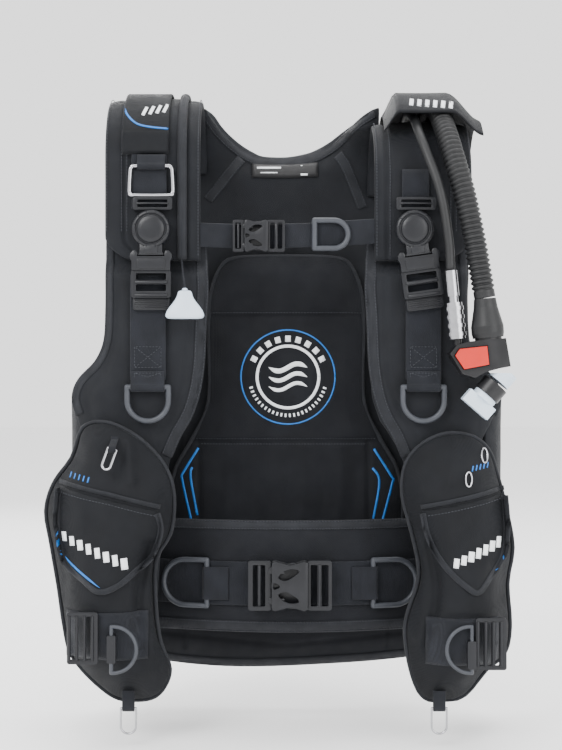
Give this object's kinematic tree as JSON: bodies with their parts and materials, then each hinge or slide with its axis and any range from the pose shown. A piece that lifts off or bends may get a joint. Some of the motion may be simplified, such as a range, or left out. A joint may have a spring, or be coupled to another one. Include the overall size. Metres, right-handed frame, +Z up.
{
  "type": "buoyancy compensator vest",
  "caption": "Scuba diver's buoyancy jacket with a tank band, an inflator on a corrugated hose, pockets, and quick-release buckles at the shoulders, chest and waist.",
  "frame": {"origin": "centre of the tank band, on the tank's axis", "axes": "+Z up along the tank, -Y towards the diver's front, +X towards the diver's left hand side"},
  "size_m": [0.502, 0.4337, 0.6946],
  "materials": {
    "shell_fabric": "woven nylon, matt",
    "pad_fabric": "woven polyester over foam, matt",
    "pocket_fabric": "coated woven nylon, slight sheen",
    "webbing": "ribbed flat webbing",
    "steel": "polished stainless steel",
    "ring_plastic": "moulded, satin",
    "buckle_plastic": "moulded acetal, satin",
    "black_plastic": "moulded, satin",
    "hose_rubber": "smooth rubber",
    "cord": "braided cord",
    "pale_plastic": "moulded, soft",
    "red_plastic": "moulded"
  },
  "bodies": {
    "root": {"back_panel": "shell_fabric", "side_panel_left": "shell_fabric", "side_panel_right": "shell_fabric", "front_wing_left": "shell_fabric", "front_wing_right": "shell_fabric", "shoulder_strap_left": "shell_fabric", "shoulder_strap_right": "shell_fabric", "back_pad": "pad_fabric", "cummerbund": "pad_fabric", "pocket_left": "pocket_fabric", "pocket_right": "pocket_fabric", "upper_webbing_left": "webbing", "upper_webbing_right": "webbing", "lower_webbing_left": "webbing", "lower_webbing_right": "webbing", "sternum_webbing": "webbing", "waist_webbing": "webbing", "swivel_socket_left": "buckle_plastic", "swivel_socket_right": "buckle_plastic", "sternum_socket": "buckle_plastic", "waist_socket": "buckle_plastic", "webbing_slides": "buckle_plastic", "pouch_buckles": "buckle_plastic", "backplate": "buckle_plastic", "tank_band": "webbing", "cam_base": "buckle_plastic", "dump_valves": "buckle_plastic", "hose_elbow": "buckle_plastic", "corrugated_hose": "hose_rubber", "hose_cuff": "hose_rubber", "inflator_body": "black_plastic", "mouthpiece": "pale_plastic", "lp_hose": "hose_rubber", "lp_ferrule": "steel", "lp_fitting": "steel"},
    "shoulder_d_ring": {"shoulder_d_ring": "steel"},
    "chest_d_ring_left": {"chest_d_ring_left": "ring_plastic"},
    "chest_d_ring_right": {"chest_d_ring_right": "ring_plastic"},
    "waist_d_ring_left": {"waist_d_ring_left": "ring_plastic"},
    "waist_d_ring_right": {"waist_d_ring_right": "ring_plastic"},
    "sternum_d_ring": {"sternum_d_ring": "ring_plastic"},
    "pocket_ring": {"pocket_ring": "steel"},
    "hem_ring_left": {"hem_ring_left": "steel"},
    "hem_ring_right": {"hem_ring_right": "steel"},
    "pull_loop_left": {"pull_loop_left": "ring_plastic"},
    "pull_loop_right": {"pull_loop_right": "ring_plastic"},
    "swivel_plug_left": {"swivel_plug_left": "buckle_plastic"},
    "swivel_plug_right": {"swivel_plug_right": "buckle_plastic"},
    "sternum_plug": {"sternum_plug": "buckle_plastic"},
    "waist_plug": {"waist_plug": "buckle_plastic"},
    "cam_lever": {"cam_lever": "buckle_plastic"},
    "dump_knob": {"dump_knob": "pale_plastic", "dump_cord": "cord"},
    "rear_dump_knob": {"rear_dump_knob": "pale_plastic"},
    "inflate_button": {"inflate_button": "red_plastic"},
    "deflate_button": {"deflate_button": "pale_plastic"},
    "coupler_sleeve": {"coupler_sleeve": "steel"},
    "hose_flap": {"hose_flap": "pocket_fabric"},
    "pocket_flap_left": {"pocket_flap_left": "pocket_fabric"},
    "pocket_flap_right": {"pocket_flap_right": "pocket_fabric"}
  },
  "joints": [
    {"name": "shoulder_d_ring_swing", "type": "hinge", "parent": "root", "child": "shoulder_d_ring", "pos_m": [-0.1445, -0.276, 0.25], "axis": [-1, 0, 0], "range_deg": [0, 90]},
    {"name": "chest_d_ring_left_swing", "type": "hinge", "parent": "root", "child": "chest_d_ring_left", "pos_m": [-0.148, -0.277, 0.014], "axis": [-1, 0, 0], "range_deg": [0, 90]},
    {"name": "chest_d_ring_right_swing", "type": "hinge", "parent": "root", "child": "chest_d_ring_right", "pos_m": [0.146, -0.277, 0.014], "axis": [-1, 0, 0], "range_deg": [0, 90]},
    {"name": "waist_d_ring_left_swing", "type": "hinge", "parent": "root", "child": "waist_d_ring_left", "pos_m": [-0.0874, -0.23256, -0.201], "axis": [0, 0, 1], "range_deg": [0, 30]},
    {"name": "waist_d_ring_right_swing", "type": "hinge", "parent": "root", "child": "waist_d_ring_right", "pos_m": [0.0954, -0.23256, -0.201], "axis": [0, 0, -1], "range_deg": [0, 30]},
    {"name": "sternum_d_ring_swing", "type": "hinge", "parent": "root", "child": "sternum_d_ring", "pos_m": [0.03, -0.266, 0.178], "axis": [0, 0, -1], "range_deg": [0, 80]},
    {"name": "pocket_ring_swing", "type": "hinge", "parent": "root", "child": "pocket_ring", "pos_m": [-0.181, -0.3181, -0.05], "axis": [-0.9397, 0, 0.342], "range_deg": [0, 80]},
    {"name": "hem_ring_left_swing", "type": "hinge", "parent": "root", "child": "hem_ring_left", "pos_m": [-0.167, -0.292, -0.3245], "axis": [1, 0, 0], "range_deg": [-60, 60]},
    {"name": "hem_ring_right_swing", "type": "hinge", "parent": "root", "child": "hem_ring_right", "pos_m": [0.161, -0.292, -0.3245], "axis": [1, 0, 0], "range_deg": [-60, 60]},
    {"name": "pull_loop_left_swing", "type": "hinge", "parent": "root", "child": "pull_loop_left", "pos_m": [-0.182, -0.3183, -0.258], "axis": [0, 0, -1], "range_deg": [0, 80]},
    {"name": "pull_loop_right_swing", "type": "hinge", "parent": "root", "child": "pull_loop_right", "pos_m": [0.192, -0.3183, -0.258], "axis": [0, 0, 1], "range_deg": [0, 80]},
    {"name": "swivel_plug_left_unclip", "type": "slide", "parent": "root", "child": "swivel_plug_left", "axis": [0, 0, -1], "range_m": [0, 0.035]},
    {"name": "swivel_plug_right_unclip", "type": "slide", "parent": "root", "child": "swivel_plug_right", "axis": [0.1392, 0, -0.9903], "range_m": [0, 0.035]},
    {"name": "sternum_plug_unclip", "type": "slide", "parent": "root", "child": "sternum_plug", "axis": [-1, 0, 0], "range_m": [0, 0.02]},
    {"name": "waist_plug_unclip", "type": "slide", "parent": "root", "child": "waist_plug", "axis": [-1, 0, 0], "range_m": [0, 0.03]},
    {"name": "cam_lever_open", "type": "hinge", "parent": "root", "child": "cam_lever", "pos_m": [0.03, 0.1042, 0], "axis": [0, 0, -1], "range_deg": [0, 120]},
    {"name": "dump_knob_pull", "type": "slide", "parent": "root", "child": "dump_knob", "axis": [0, 0, -1], "range_m": [0, 0.012], "stiffness_N_per_m": 300},
    {"name": "rear_dump_knob_pull", "type": "slide", "parent": "root", "child": "rear_dump_knob", "axis": [0, 0, -1], "range_m": [0, 0.01], "stiffness_N_per_m": 300},
    {"name": "inflate_button_press", "type": "slide", "parent": "root", "child": "inflate_button", "axis": [0, 1, 0], "range_m": [0, 0.003], "stiffness_N_per_m": 400},
    {"name": "deflate_button_press", "type": "slide", "parent": "root", "child": "deflate_button", "axis": [-0.6561, 0, -0.7547], "range_m": [0, 0.003], "stiffness_N_per_m": 400},
    {"name": "coupler_sleeve_slide", "type": "slide", "parent": "root", "child": "coupler_sleeve", "axis": [-0.0976, 0, 0.9952], "range_m": [0, 0.004], "stiffness_N_per_m": 400},
    {"name": "hose_flap_open", "type": "hinge", "parent": "root", "child": "hose_flap", "pos_m": [0.108, -0.1945, 0.3385], "axis": [0, -1, 0], "range_deg": [0, 100]},
    {"name": "pocket_flap_left_lift", "type": "hinge", "parent": "root", "child": "pocket_flap_left", "pos_m": [-0.243, -0.3161, -0.088], "axis": [-0.9691, 0, 0.2467], "range_deg": [0, 80]},
    {"name": "pocket_flap_right_lift", "type": "hinge", "parent": "root", "child": "pocket_flap_right", "pos_m": [0.14, -0.3161, -0.116], "axis": [-0.9772, 0, -0.2124], "range_deg": [0, 80]}
  ]
}
